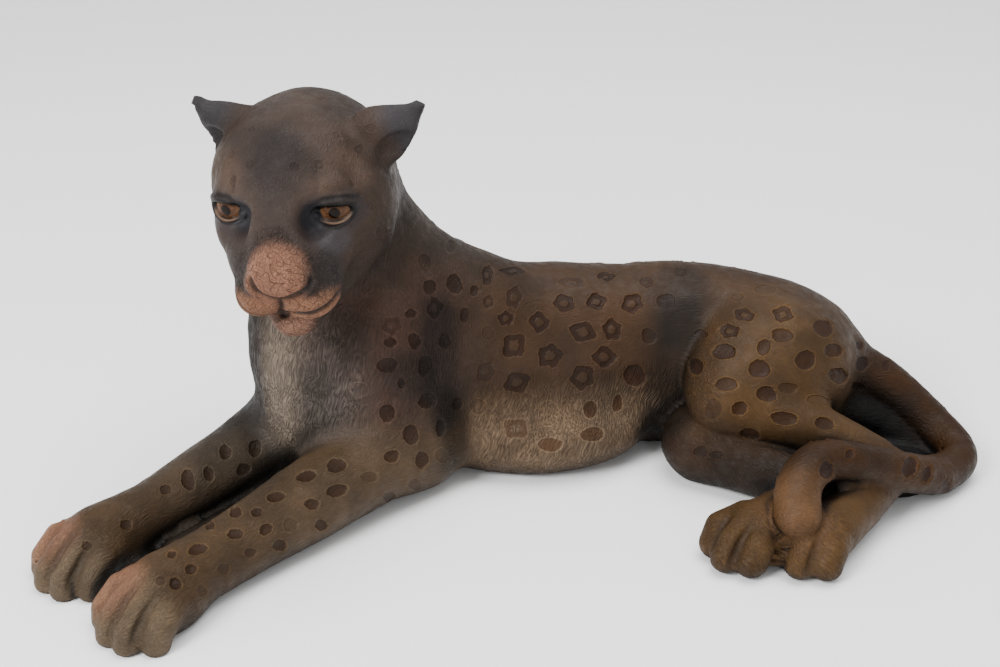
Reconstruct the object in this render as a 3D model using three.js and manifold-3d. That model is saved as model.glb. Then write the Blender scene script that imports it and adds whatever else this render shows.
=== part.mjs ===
// A reclining panther cast hollow in resin, in one piece, with two domed glass eyes set in its head.
// Millimetres, +Z up. The panther faces -X and its left flank is on the -Y side.
// The body is a soft union of rounded forms, one for each muscle or bone that shows, meshed and then
// thinned to few triangles. The sockets and the flat footing are cut afterwards, at their own sizes.
import * as THREE from "three";
import { edgeTable, triTable } from "three/addons/objects/MarchingCubes.js";
import { mergeVertices } from "three/addons/utils/BufferGeometryUtils.js";
import Module from "manifold-3d";

const wasm = await Module();
wasm.setup();

// Driving dimensions
const FIGURE_LENGTH = 589; // front paws to the bend of the tail
const EYE_DIAMETER = 24; // curve of the glass dome
const EYE_THICKNESS = 11; // dome's crown to the flat back of the glass
const EYE_CLEARANCE = 0.35; // gap between the glass and its socket, all round
const LID_THICKNESS = 2.4; // resin over the rim of the glass
const FOOTING_DEPTH = 1.2; // how much of the underside is ground off flat

// Fineness of the mesh
const CELL = 3.1; // side of a meshing cell, in sculpting units
const BLOCK_CELLS = 6; // cells along one side of a block that is tested as a whole
const BODY_TRIANGLES = 8000; // after thinning

// The figure is sculpted in units of a 589th of its length, and keeps its proportions.
const SCULPTED_LENGTH = 589;
const UNIT = FIGURE_LENGTH / SCULPTED_LENGTH;
const LEFT = 1;
const RIGHT = -1;
const SIDES = [LEFT, RIGHT];

// Vectors
const plus = (a, b, share = 1) => [0, 1, 2].map((i) => a[i] + b[i] * share);
const radians = THREE.MathUtils.degToRad;

// A frame places forms by how far they lie forward, to the left and up, from its own origin.
function makeFrame(origin, heading, nod = 0, roll = 0) {
  const turn = new THREE.Matrix4()
    .makeRotationZ(radians(180 + heading))
    .multiply(new THREE.Matrix4().makeRotationY(radians(nod)))
    .multiply(new THREE.Matrix4().makeRotationX(radians(roll)));
  const axes = [0, 1, 2].map((i) => new THREE.Vector3().setFromMatrixColumn(turn, i).toArray());
  const at = (p) => axes.reduce((sum, axis, i) => plus(sum, axis, p[i]), origin);
  return { at, axes, origin };
}

const WORLD = { at: (p) => p, axes: [[1, 0, 0], [0, 1, 0], [0, 0, 1]], origin: [0, 0, 0] };

// Forms: each gives a rough signed distance, and the ball that holds it
function ball(centre, radii, frame = WORLD, soft = 8) {
  const [cx, cy, cz] = frame.at(centre);
  const [[ax, ay, az], [bx, by, bz], [dx, dy, dz]] = frame.axes;
  const [ra, rb, rc] = radii;
  const distance = (x, y, z) => {
    const px = x - cx;
    const py = y - cy;
    const pz = z - cz;
    const u = (px * ax + py * ay + pz * az) / ra;
    const v = (px * bx + py * by + pz * bz) / rb;
    const w = (px * dx + py * dy + pz * dz) / rc;
    const near = Math.sqrt(u * u + v * v + w * w);
    const slope = Math.sqrt((u / ra) ** 2 + (v / rb) ** 2 + (w / rc) ** 2);
    return slope < 1e-9 ? -Math.min(ra, rb, rc) : (near * (near - 1)) / slope;
  };
  return { centre: [cx, cy, cz], reach: Math.max(ra, rb, rc), soft, distance };
}

// A chain of tapered links through points that each carry a radius
function limb(points, frame = WORLD, soft = 8) {
  const spots = points.map(([a, b, c, radius]) => [...frame.at([a, b, c]), radius]);
  const links = spots.slice(1).map((end, i) => {
    const start = spots[i];
    const run = [end[0] - start[0], end[1] - start[1], end[2] - start[2]];
    return { start, run, square: run[0] ** 2 + run[1] ** 2 + run[2] ** 2, grow: end[3] - start[3] };
  });
  const distance = (x, y, z) => {
    let least = Infinity;
    for (const { start, run, square, grow } of links) {
      const px = x - start[0];
      const py = y - start[1];
      const pz = z - start[2];
      const along = (px * run[0] + py * run[1] + pz * run[2]) / square;
      const t = Math.min(Math.max(along, 0), 1);
      const gap = Math.hypot(px - run[0] * t, py - run[1] * t, pz - run[2] * t);
      least = Math.min(least, gap - start[3] - grow * t);
    }
    return least;
  };
  const centre = [0, 1, 2].map((i) => spots.reduce((sum, p) => sum + p[i], 0) / spots.length);
  const reach = Math.max(...spots.map((p) => Math.hypot(...[0, 1, 2].map((i) => p[i] - centre[i])) + p[3]));
  return { centre, reach, soft, distance };
}

const carve = (form) => ({ ...form, carved: true });

// A group blends its own forms first, then joins the rest of the figure, most softly near its joint.
const group = (forms, soft, joint, reach) => ({ forms, soft, joint, reach });

function blend(a, b, soft) {
  const overlap = Math.max(soft - Math.abs(a - b), 0);
  return Math.min(a, b) - (overlap * overlap) / (4 * soft);
}

const LEAST_SOFT = 1.5;

function softnessAt({ soft, joint, reach }, x, y, z) {
  if (!joint) return soft;
  const far = Math.hypot(x - joint[0], y - joint[1], z - joint[2]) / reach;
  return LEAST_SOFT + (soft - LEAST_SOFT) * THREE.MathUtils.smoothstep(2 - far, 0, 1);
}

function distanceTo(groups, x, y, z) {
  let whole = Infinity;
  for (const one of groups) {
    let own = Infinity;
    for (const form of one.forms) {
      const d = form.distance(x, y, z);
      if (own === Infinity) own = form.carved ? own : d;
      else own = form.carved ? -blend(-own, d, form.soft) : blend(own, d, form.soft);
    }
    if (own === Infinity) continue;
    whole = whole === Infinity ? own : blend(whole, own, softnessAt(one, x, y, z));
  }
  return whole;
}

// Torso, from the rump to the base of the neck, lying along the ground
function torso() {
  return group([
    ball([181, 22, 56], [55, 44, 49], WORLD, 20),
    ball([152, 34, 68], [54, 40, 48], WORLD, 20),
    ball([104, 36, 65], [66, 42, 57], WORLD, 24),
    ball([36, 26, 66], [66, 46, 60], WORLD, 24),
    ball([-20, 12, 78], [56, 44, 60], WORLD, 20),
    ball([-66, 14, 84], [46, 40, 58], WORLD, 20),
    ball([20, -4, 26], [84, 42, 31], WORLD, 18),
    ball([110, 34, 30], [106, 38, 34], WORLD, 12),
    ball([192, 20, 30], [44, 36, 34], WORLD, 12),
  ], 18);
}

// Chest and shoulders face the way the forelegs point.
const CHEST_HEADING = 46;
const chest = makeFrame([-92, -12, 0], CHEST_HEADING);

function chestForms() {
  const forms = [
    ball([12, -2, 84], [48, 46, 62], chest, 16),
    ball([34, -2, 64], [34, 34, 50], chest, 14),
    limb([[11, -7, 112, 46], [11, -8, 150, 42], [10, -11, 184, 38]], chest, 18),
    limb([[38, -4, 96, 28], [38, -6, 130, 27], [34, -10, 160, 25]], chest, 14),
  ];
  for (const side of SIDES) {
    forms.push(ball([6, 38 * side - 1, 88], [34, 22, 52], chest, 12));
    forms.push(ball([-24, 34 * side, 104], [32, 20, 38], chest, 14));
    forms.push(ball([-14, 40 * side, 60], [34, 22, 44], chest, 12));
  }
  return group(forms, 20);
}

// The nape runs from the back of the skull down to the withers.
function nape() {
  return group([
    limb([[-104, -22, 210, 36], [-92, -8, 174, 36], [-70, 2, 138, 38], [-38, 10, 100, 40]], WORLD, 16),
  ], 22);
}

// Forelegs stretch forward side by side, flat on the ground, with a low web of resin between them.
const FORELEG_SPREAD = 33;
const forelegFrame = (side) => makeFrame(chest.at([4, FORELEG_SPREAD * side + 6, 0]), CHEST_HEADING + 2);

function foreleg(side) {
  const leg = forelegFrame(side);
  const paw = makeFrame(leg.at([188 + 1.5 * side, side - 1, 0]), CHEST_HEADING + 8);
  const forms = [
    limb([[-10, 6 * side, 31, 31], [22, 3 * side, 31, 29], [76, 1 * side, 27, 25], [140, 0, 22, 21], [178, 0, 20, 21]], leg, 10),
    ball([0, 0, 15], [32, 26, 21], paw, 8),
  ];
  for (const [across, reach] of [[-20, 8], [-7, 16], [7, 16], [20, 8]]) {
    forms.push(ball([reach, across, 15], [20, 9, 16], paw, 3));
    forms.push(ball([reach + 10, across, 11], [12, 8.5, 11], paw, 3));
  }
  return group(forms, 16, leg.at([-6, 0, 56]), 62);
}

function forelegWeb() {
  return group([limb([[20, 0, 6, 16], [150, 0, 6, 13]], forelegFrame(0))], 4);
}

// Hind legs both lie out to the left, the left one on top.
function leftHindleg() {
  const foot = makeFrame([184, -124, 0], 55);
  const forms = [
    ball([174, -2, 66], [54, 36, 46], WORLD, 14),
    limb([[176, -8, 64, 38], [146, -24, 62, 27]], WORLD, 12),
    limb([[146, -30, 58, 24], [192, -40, 48, 19], [240, -52, 35, 15]], WORLD, 8),
    limb([[248, -56, 22, 14], [214, -96, 20, 16], [192, -120, 18, 17]], WORLD, 6),
  ];
  return group([...forms, ...hindToes(foot, LEFT)], 14, [205, 10, 92], 46);
}

function rightHindleg() {
  const foot = makeFrame([152, -118, 0], 46);
  const forms = [
    limb([[176, 10, 38, 32], [134, -24, 25, 25]], WORLD, 12),
    limb([[132, -26, 24, 25], [178, -60, 20, 18], [202, -74, 18, 16]], WORLD, 10),
    limb([[198, -78, 18, 15], [172, -100, 18, 16], [156, -116, 18, 17]], WORLD, 6),
  ];
  return group([...forms, ...hindToes(foot, RIGHT)], 6, [176, 20, 30], 30);
}

function hindToes(foot, side) {
  const forms = [ball([4, 0, 16], [26, 20, 17], foot, 6)];
  for (const [across, reach] of [[-16, 7], [-5, 14], [7, 13], [17, 5]]) {
    forms.push(ball([reach, across * side, 14], [18, 8.5, 15], foot, 3));
    forms.push(ball([reach + 8, across * side, 10], [11, 8, 10], foot, 3));
  }
  return forms;
}

// Tail: round the rump on the ground, over the hock, and down between the hind paws
function tail() {
  const route = [[218, 20, 64], [254, 16, 46], [287, 0, 22], [299, -26, 14], [281, -50, 15],
    [250, -72, 30], [218, -86, 45], [192, -96, 52], [178, -112, 47], [175, -127, 33]];
  const radii = [18, 16, 14, 12.5, 12.5, 12.5, 12.5, 13, 13.5, 14.5];
  const path = new THREE.CatmullRomCurve3(route.map((p) => new THREE.Vector3(...p)), false, "centripetal");
  const steps = 40;
  const points = Array.from({ length: steps + 1 }, (_, i) => {
    const share = (i / steps) * (radii.length - 1);
    const low = Math.min(Math.floor(share), radii.length - 2);
    const radius = THREE.MathUtils.lerp(radii[low], radii[low + 1], share - low);
    return [...path.getPoint(i / steps).toArray(), radius];
  });
  return group([limb(points)], 12, route[0], 22);
}

// Inside the bend of the tail the casting carries on as a low web, which rises under the tail's root.
function tailWeb() {
  return group([
    ball([246, -16, 1], [48, 42, 13]),
    limb([[216, 14, 36, 20], [250, 10, 22, 17], [280, 0, 8, 12]]),
  ], 4);
}

// Head
const HEAD_HEADING = 80;
const HEAD_NOD = 7;
const HEAD_ROLL = 3;
const EYE_TURN = 17; // each eye looks this far outwards
const head = makeFrame([-115, -54, 216], HEAD_HEADING, HEAD_NOD, HEAD_ROLL);
const EYE_SPREAD = 28;
const eyeFrame = (side) =>
  makeFrame(head.at([31, EYE_SPREAD * side + 0.5, 3]), HEAD_HEADING + EYE_TURN * side, 4, HEAD_ROLL);

function skull() {
  const forms = [
    ball([-8, -2, 7], [50, 47, 38], head),
    ball([14, -1, 14], [35, 37, 28], head, 10),
    ball([18, 4, -34], [36, 24, 16], head, 14),
    ball([-34, 0, -4], [36, 42, 42], head, 14),
    limb([[26, 1, 9, 24], [50, 3, -4, 21], [69, 6, -15, 18]], head, 10),
    ball([56, 5, -26], [28, 28, 20], head, 8),
    ball([79, 7, -16], [11, 19, 12], head, 5),
    ball([58, 9, -51], [19, 17, 13], head, 6),
  ];
  for (const side of SIDES) {
    forms.push(ball([2, 34 * side + 3, -12], [32, 19, 30], head, 10));
    forms.push(ball([27, 31 * side + 2, -13], [21, 14, 14], head, 8));
    forms.push(ball([42, 20 * side + 3, -19], [22, 15, 17], head, 10));
    forms.push(ball([65, 14.5 * side + 7, -33], [20, 15, 13], head, 5));
    forms.push(limb([[4, 30 * side + 2, -34, 17], [52, 9 * side + 8, -47, 11]], head, 8));
    forms.push(carve(ball([54, 21 * side + 2, 4], [9, 7, 8], head, 8)));
    forms.push(ball([31, 19 * side + 1, 16], [13, 16, 8], head, 8));
  }
  return group([...forms, ...SIDES.flatMap(lids), ...SIDES.flatMap(ear)], 18, head.at([-30, 0, -40]), 60);
}

// A thick lid stands round each eye, opened by an almond that leaves the glass to show.
function lids(side) {
  const eye = eyeFrame(side);
  const glass = EYE_DIAMETER / 2 / UNIT;
  const lid = glass + LID_THICKNESS / UNIT;
  return [
    ball([0, 0, 0], [lid, lid, lid], eye, 5),
    carve(ball([glass + 5, 0, -1], [13, glass * 0.94, glass * 0.55], eye, 1.5)),
    limb([[glass - 5, -10, 6.5, 2.6], [glass - 0.5, 0, 7.5, 2.8], [glass - 5, 10, 6.5, 2.6]], eye, 4),
  ];
}

// Each ear is a pointed leaf laid out sideways, hollow in its lower half.
function ear(side) {
  const leaf = makeFrame(head.at([-8, 37 * side + 6, 24]), HEAD_HEADING + 92 * side, -22, 0);
  return [
    ball([4, 0, 0], [17, 9, 18], leaf, 6),
    ball([14, 0, 3], [15, 7, 12], leaf, 5),
    limb([[16, 0, 5, 7], [35, 0, 9, 2.6]], leaf, 4),
    carve(ball([16, -7 * side, -9], [15, 8, 9], leaf, 3)),
  ];
}

// Meshing: the figure's space is cut into cells, and only blocks near its skin are looked at closely.
function sampleGrid(groups, low, high) {
  const size = [0, 1, 2].map((i) => BLOCK_CELLS * Math.ceil((high[i] - low[i]) / CELL / BLOCK_CELLS) + 1);
  const [nx, ny, nz] = size;
  const values = new Float32Array(nx * ny * nz).fill(1);
  const half = (BLOCK_CELLS * CELL) / 2;
  const corner = half * Math.sqrt(3);
  for (let bz = 0; bz < nz - 1; bz += BLOCK_CELLS)
    for (let by = 0; by < ny - 1; by += BLOCK_CELLS)
      for (let bx = 0; bx < nx - 1; bx += BLOCK_CELLS) {
        const middle = [bx, by, bz].map((b, i) => low[i] + b * CELL + half);
        const close = groupsNear(groups, middle, corner);
        if (!close.length) continue;
        for (let z = bz; z <= bz + BLOCK_CELLS; z++)
          for (let y = by; y <= by + BLOCK_CELLS; y++)
            for (let x = bx; x <= bx + BLOCK_CELLS; x++) {
              const value = distanceTo(close, low[0] + x * CELL, low[1] + y * CELL, low[2] + z * CELL);
              values[x + nx * (y + ny * z)] = Math.abs(value) < 1e-4 ? 1e-4 : Math.min(value, 1e3);
            }
      }
  return { values, size, low };
}

function groupsNear(groups, middle, corner) {
  const near = ({ centre, reach, soft }, more) =>
    Math.hypot(...centre.map((c, i) => c - middle[i])) < reach + corner + Math.max(soft, more);
  return groups
    .map((one) => ({ ...one, forms: one.forms.filter((form) => near(form, one.soft)) }))
    .filter((one) => one.forms.some((form) => !form.carved));
}

// The two corners of each edge of a cell, as steps along x, y and z from the cell's own corner
const CELL_EDGES = [
  [[0, 0, 0], 0], [[1, 0, 0], 1], [[0, 1, 0], 0], [[0, 0, 0], 1],
  [[0, 0, 1], 0], [[1, 0, 1], 1], [[0, 1, 1], 0], [[0, 0, 1], 1],
  [[0, 0, 0], 2], [[1, 0, 0], 2], [[1, 1, 0], 2], [[0, 1, 0], 2],
];
const CELL_CORNERS = [[0, 0, 0], [1, 0, 0], [1, 1, 0], [0, 1, 0], [0, 0, 1], [1, 0, 1], [1, 1, 1], [0, 1, 1]];

function meshGrid({ values, size, low }) {
  const [nx, ny, nz] = size;
  const stride = [1, nx, nx * ny];
  const points = [];
  const faces = [];
  const known = new Map();
  const pointOn = (x, y, z, edge) => {
    const [[ex, ey, ez], axis] = CELL_EDGES[edge];
    const place = [x + ex, y + ey, z + ez];
    const from = place[0] * stride[0] + place[1] * stride[1] + place[2] * stride[2];
    const key = from * 3 + axis;
    if (!known.has(key)) {
      const a = values[from];
      const b = values[from + stride[axis]];
      place[axis] += a / (a - b);
      known.set(key, points.length / 3);
      points.push(...place.map((p, i) => low[i] + p * CELL));
    }
    return known.get(key);
  };
  const corners = CELL_CORNERS.map(([x, y, z]) => x * stride[0] + y * stride[1] + z * stride[2]);
  for (let z = 0; z < nz - 1; z++)
    for (let y = 0; y < ny - 1; y++)
      for (let x = 0; x < nx - 1; x++) {
        const from = x + nx * (y + ny * z);
        let shape = 0;
        for (let i = 0; i < 8; i++) if (values[from + corners[i]] < 0) shape |= 1 << i;
        if (!edgeTable[shape]) continue;
        for (let i = shape * 16; triTable[i] !== -1; i += 3)
          faces.push(...[0, 2, 1].map((j) => pointOn(x, y, z, triTable[i + j])));
      }
  return { points: Float64Array.from(points), faces: Int32Array.from(faces) };
}

// Thinning: edges are collapsed, cheapest first, by how far each would move the skin.
function thin({ points, faces }, triangles, careAt) {
  const count = points.length / 3;
  const quadric = new Float64Array(count * 10);
  const around = Array.from({ length: count }, () => new Set());
  const stamp = new Int32Array(count);
  const gone = new Uint8Array(faces.length / 3);
  const point = (v) => [points[3 * v], points[3 * v + 1], points[3 * v + 2]];
  const cross = (a, b, c) => {
    const u = plus(b, a, -1);
    const v = plus(c, a, -1);
    return [u[1] * v[2] - u[2] * v[1], u[2] * v[0] - u[0] * v[2], u[0] * v[1] - u[1] * v[0]];
  };
  for (let f = 0; f < gone.length; f++) {
    const corner = [faces[3 * f], faces[3 * f + 1], faces[3 * f + 2]];
    const normal = cross(...corner.map(point));
    const area = Math.hypot(...normal);
    if (area < 1e-12) {
      corner.forEach((v) => around[v].add(f));
      continue;
    }
    const [a, b, c] = normal.map((n) => n / area);
    const d = -(a * points[3 * corner[0]] + b * points[3 * corner[0] + 1] + c * points[3 * corner[0] + 2]);
    const plane = [a * a, a * b, a * c, a * d, b * b, b * c, b * d, c * c, c * d, d * d];
    for (const v of corner) {
      around[v].add(f);
      for (let i = 0; i < 10; i++) quadric[10 * v + i] += plane[i] * area;
    }
  }
  const error = (q, [x, y, z]) =>
    q[0] * x * x + 2 * q[1] * x * y + 2 * q[2] * x * z + 2 * q[3] * x + q[4] * y * y +
    2 * q[5] * y * z + 2 * q[6] * y + q[7] * z * z + 2 * q[8] * z + q[9];
  const best = (u, v) => {
    const q = Array.from({ length: 10 }, (_, i) => quadric[10 * u + i] + quadric[10 * v + i]);
    const middle = point(u).map((p, i) => (p + point(v)[i]) / 2);
    const found = lowest(q);
    const span = Math.hypot(...plus(point(u), point(v), -1));
    const usable = found && Math.hypot(...plus(found, middle, -1)) < 2 * span;
    const place = usable ? found : middle;
    return { place, cost: Math.abs(error(q, place)) * careAt(middle) + 1e-3 * span * span };
  };
  const heap = makeHeap();
  const offer = (u, v) => {
    const { place, cost } = best(u, v);
    heap.push({ cost, u, v, place, at: stamp[u] + stamp[v] });
  };
  const neighbours = (v) => {
    const found = new Set();
    for (const f of around[v]) for (let i = 0; i < 3; i++) found.add(faces[3 * f + i]);
    found.delete(v);
    return found;
  };
  for (let v = 0; v < count; v++) for (const w of neighbours(v)) if (v < w) offer(v, w);
  const flips = (v, other, place) => {
    for (const f of around[v]) {
      const corner = [faces[3 * f], faces[3 * f + 1], faces[3 * f + 2]];
      if (corner.includes(other)) continue;
      const before = cross(...corner.map(point));
      const after = cross(...corner.map((w) => (w === v ? place : point(w))));
      const dot = before[0] * after[0] + before[1] * after[1] + before[2] * after[2];
      if (dot <= 0.25 * Math.hypot(...before) * Math.hypot(...after)) return true;
    }
    return false;
  };
  let left = gone.length;
  const dead = new Uint8Array(count);
  while (left > triangles && heap.size()) {
    const { u, v, place, at } = heap.pop();
    if (dead[u] || dead[v] || at !== stamp[u] + stamp[v]) continue;
    const near = neighbours(u);
    const shared = [...neighbours(v)].filter((w) => near.has(w));
    if (shared.length !== 2 || flips(u, v, place) || flips(v, u, place)) continue;
    for (const f of [...around[v]]) {
      const corner = [0, 1, 2].map((i) => faces[3 * f + i]);
      if (corner.includes(u)) {
        gone[f] = 1;
        left--;
        corner.forEach((w) => around[w].delete(f));
      } else {
        for (let i = 0; i < 3; i++) if (faces[3 * f + i] === v) faces[3 * f + i] = u;
        around[u].add(f);
      }
    }
    dead[v] = 1;
    points.set(place, 3 * u);
    for (let i = 0; i < 10; i++) quadric[10 * u + i] += quadric[10 * v + i];
    stamp[u] += 1e4;
    for (const w of neighbours(u)) offer(u, w);
  }
  return { points, faces: faces.filter((_, i) => !gone[Math.floor(i / 3)]) };
}

// The point where a quadric is least, or null where that isn't well defined
function lowest(q) {
  const [a, b, c, d, e, f, g, h, i] = q;
  const p = e * h - f * f;
  const r = c * f - b * h;
  const s = b * f - c * e;
  const det = a * p + b * r + c * s;
  if (Math.abs(det) < 1e-6 * (a + e + h) ** 3) return null;
  const t = a * h - c * c;
  const u = b * c - a * f;
  const w = a * e - b * b;
  return [
    -(p * d + r * g + s * i) / det,
    -(r * d + t * g + u * i) / det,
    -(s * d + u * g + w * i) / det,
  ];
}

function makeHeap() {
  const items = [];
  const swap = (i, j) => ([items[i], items[j]] = [items[j], items[i]]);
  return {
    size: () => items.length,
    push(item) {
      let i = items.push(item) - 1;
      while (i > 0) {
        const parent = (i - 1) >> 1;
        if (items[parent].cost <= items[i].cost) break;
        swap(i, parent);
        i = parent;
      }
    },
    pop() {
      const top = items[0];
      const last = items.pop();
      if (items.length) {
        items[0] = last;
        for (let i = 0; ; ) {
          let least = i;
          for (const child of [2 * i + 1, 2 * i + 2])
            if (child < items.length && items[child].cost < items[least].cost) least = child;
          if (least === i) break;
          swap(i, least);
          i = least;
        }
      }
      return top;
    },
  };
}

// Solids
function solidOf(geometry) {
  const bare = geometry.clone();
  for (const name of ["normal", "uv"]) bare.deleteAttribute(name);
  const merged = mergeVertices(bare, 1e-4);
  return new wasm.Manifold(new wasm.Mesh({
    numProp: 3,
    vertProperties: merged.attributes.position.array,
    triVerts: new Uint32Array(merged.index.array),
  }));
}

function geometryOf(solid) {
  const { numProp, vertProperties, triVerts } = solid.getMesh();
  const places = new Float32Array((vertProperties.length / numProp) * 3);
  for (let i = 0; i < places.length / 3; i++)
    for (let j = 0; j < 3; j++) places[3 * i + j] = vertProperties[numProp * i + j];
  const geometry = new THREE.BufferGeometry();
  geometry.setAttribute("position", new THREE.BufferAttribute(places, 3));
  geometry.setIndex(new THREE.BufferAttribute(new Uint32Array(triVerts), 1));
  geometry.computeVertexNormals();
  return geometry;
}

// A domed disc of glass: a spherical front on a flat back, its axis along +X, the curve's centre at the origin
function eyeGeometry(grow) {
  const radius = EYE_DIAMETER / 2 + grow;
  const back = EYE_DIAMETER / 2 - EYE_THICKNESS - grow;
  const rim = Math.acos(Math.min(Math.max(back / radius, -1), 1));
  const steps = 7;
  const profile = [new THREE.Vector2(0, back)];
  for (let i = 0; i <= steps; i++) {
    const turn = rim * (1 - i / steps);
    profile.push(new THREE.Vector2(i === steps ? 0 : radius * Math.sin(turn), radius * Math.cos(turn)));
  }
  return new THREE.LatheGeometry(profile, 24).rotateZ(-Math.PI / 2);
}

function placed(geometry, side) {
  const { axes, origin } = eyeFrame(side);
  const basis = new THREE.Matrix4().makeBasis(...axes.map((a) => new THREE.Vector3(...a)));
  const place = new THREE.Matrix4().makeTranslation(...origin.map((v) => v * UNIT));
  return geometry.clone().applyMatrix4(place.multiply(basis));
}

const HEAD_CARE = 5; // the head and the paws keep more triangles than the flanks
const carefulAt = ([x, y, z]) => (z > 140 || (y < -100 && z < 40) ? HEAD_CARE : 1);

function buildBody() {
  const upper = [torso(), chestForms(), nape()];
  const lower = [forelegWeb(), foreleg(RIGHT), tailWeb(), rightHindleg(), leftHindleg(), foreleg(LEFT)];
  const grid = sampleGrid([...upper, ...lower, tail(), skull()], [-310, -260, -18], [345, 110, 300]);
  const skin = thin(meshGrid(grid), BODY_TRIANGLES, carefulAt);
  const geometry = new THREE.BufferGeometry();
  geometry.setAttribute("position", new THREE.BufferAttribute(Float32Array.from(skin.points), 3));
  geometry.setIndex(new THREE.BufferAttribute(Uint32Array.from(skin.faces), 1));
  geometry.scale(UNIT, UNIT, UNIT);
  const floor = new THREE.BoxGeometry(4 * FIGURE_LENGTH, 4 * FIGURE_LENGTH, FIGURE_LENGTH);
  floor.translate(0, 0, FOOTING_DEPTH - FIGURE_LENGTH / 2);
  let body = solidOf(geometry).subtract(solidOf(floor));
  for (const side of SIDES) body = body.subtract(solidOf(placed(eyeGeometry(EYE_CLEARANCE), side)));
  return geometryOf(body);
}

// The scene graph
const resin = new THREE.MeshStandardMaterial({ color: 0x4a3a30, roughness: 0.55, metalness: 0 });
const glass = new THREE.MeshStandardMaterial({ color: 0x8a4a1c, roughness: 0.05, metalness: 0 });

function named(name, geometry, material) {
  const mesh = new THREE.Mesh(geometry, material);
  mesh.name = name;
  return mesh;
}

const panther = new THREE.Group();
panther.add(named("panther_body", buildBody(), resin));
panther.add(named("left_eye", placed(eyeGeometry(0), LEFT), glass));
panther.add(named("right_eye", placed(eyeGeometry(0), RIGHT), glass));

// The origin lies on the ground, under the middle of the figure.
const middle = new THREE.Box3().setFromObject(panther).getCenter(new THREE.Vector3());
for (const mesh of panther.children) mesh.geometry.translate(-middle.x, -middle.y, -FOOTING_DEPTH);

export default panther;
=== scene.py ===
import math

import bmesh
import bpy
import numpy as np
from mathutils import Matrix, Vector
from mathutils.noise import noise as perlin


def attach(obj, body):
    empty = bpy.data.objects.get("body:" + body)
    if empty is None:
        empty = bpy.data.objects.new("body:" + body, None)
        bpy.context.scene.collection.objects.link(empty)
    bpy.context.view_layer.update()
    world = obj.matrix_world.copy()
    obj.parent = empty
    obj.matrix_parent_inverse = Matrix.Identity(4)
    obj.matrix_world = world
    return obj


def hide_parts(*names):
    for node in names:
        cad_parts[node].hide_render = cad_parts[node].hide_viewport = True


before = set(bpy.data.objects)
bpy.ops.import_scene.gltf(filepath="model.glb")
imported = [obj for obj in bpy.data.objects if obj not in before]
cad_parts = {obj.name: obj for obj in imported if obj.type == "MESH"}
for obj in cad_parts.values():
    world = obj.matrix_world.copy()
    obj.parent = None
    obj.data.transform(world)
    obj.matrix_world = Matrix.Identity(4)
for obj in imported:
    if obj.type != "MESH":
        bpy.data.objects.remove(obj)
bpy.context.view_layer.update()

# Sizes of the sculpture, in millimetres
SHIFT = np.array([17.4827, -70.48, 1.2])  # from the sculptor's marks to the frame's origin
SKIN_CELL = 2.55  # spacing of the skin's points
EYE_RADIUS = 12.0
EYE_THICKNESS = 11.0
LID_THICKNESS = 2.4
EYE_SPREAD = 28.0
EYE_TURN = 17.0
FORELEG_SPREAD = 33.0
HEAD_HEADING, HEAD_NOD, HEAD_ROLL = 80.0, 7.0, 3.0
CHEST_HEADING = 46.0
LEFT, RIGHT = 1, -1
SIDES = (LEFT, RIGHT)
LEAST_SOFT = 2.2  # softness of a blend far from its joint
SETTLE_STEP = 0.4  # how far aside the slope of the forms is measured
SPOT_DEPTH = 1.25
SPOT_LIP = 0.55
STRAND_DEPTH = 1.5


# Frames and rounded forms
def turned(axis, degrees):
    return np.array(Matrix.Rotation(math.radians(degrees), 3, axis))


def length(vectors):
    return np.linalg.norm(vectors, axis=1)


def off_line(points, start, end):
    """How far along a line each point is, from 0 to 1, and the way to it from there."""
    run = end - start
    along = np.clip((points - start) @ run / (run @ run), 0, 1)
    return along, points - start - along[:, None] * run


class Place:
    """A place on the figure, with its own forward, left and up."""

    def __init__(self, origin, heading=None, nod=0.0, roll=0.0):
        self.origin = np.array(origin, float)
        if heading is None:
            self.axes = np.eye(3)
        else:
            self.axes = (turned("Z", 180 + heading) @ turned("Y", nod) @ turned("X", roll)).T

    def at(self, point):
        return self.origin + np.array(point, float) @ self.axes

    def local(self, points):
        return (points - self.origin) @ self.axes.T


GROUND = Place((0, 0, 0))


def ball(centre, radii, place=GROUND, soft=8.0):
    middle = place.at(centre)
    radii = np.array(radii, float)
    axes = place.axes

    def distance(points):
        q = (points - middle) @ axes.T / radii
        near = length(q)
        slope = length(q / radii)
        return near * (near - 1) / np.maximum(slope, 1e-6)

    return {"middle": middle, "reach": radii.max(), "soft": soft, "carved": False, "distance": distance}


def limb(points, place=GROUND, soft=8.0):
    spots = [(place.at(p[:3]), p[3]) for p in points]

    def distance(at):
        least = np.full(len(at), 1e9)
        for (start, thick), (end, thin) in zip(spots, spots[1:]):
            t, gap = off_line(at, start, end)
            least = np.minimum(least, length(gap) - thick - (thin - thick) * t)
        return least

    middle = sum(p for p, _ in spots) / len(spots)
    reach = max(np.linalg.norm(p - middle) + r for p, r in spots)
    return {"middle": middle, "reach": reach, "soft": soft, "carved": False, "distance": distance}


def carve(form):
    return {**form, "carved": True}


def group(forms, soft, joint=None, reach=1.0):
    return {"forms": forms, "soft": soft, "joint": joint, "reach": reach}


def blend(a, b, soft):
    overlap = np.maximum(soft - np.abs(a - b), 0)
    return np.minimum(a, b) - overlap * overlap / (4 * soft)


def smoothstep(x, low=0.0, high=1.0):
    t = np.clip((x - low) / (high - low), 0, 1)
    return t * t * (3 - 2 * t)


def softness(one, points):
    if one["joint"] is None:
        return np.full(len(points), float(one["soft"]))
    far = length(points - np.array(one["joint"], float)) / one["reach"]
    return LEAST_SOFT + (one["soft"] - LEAST_SOFT) * smoothstep(2 - far)


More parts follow.
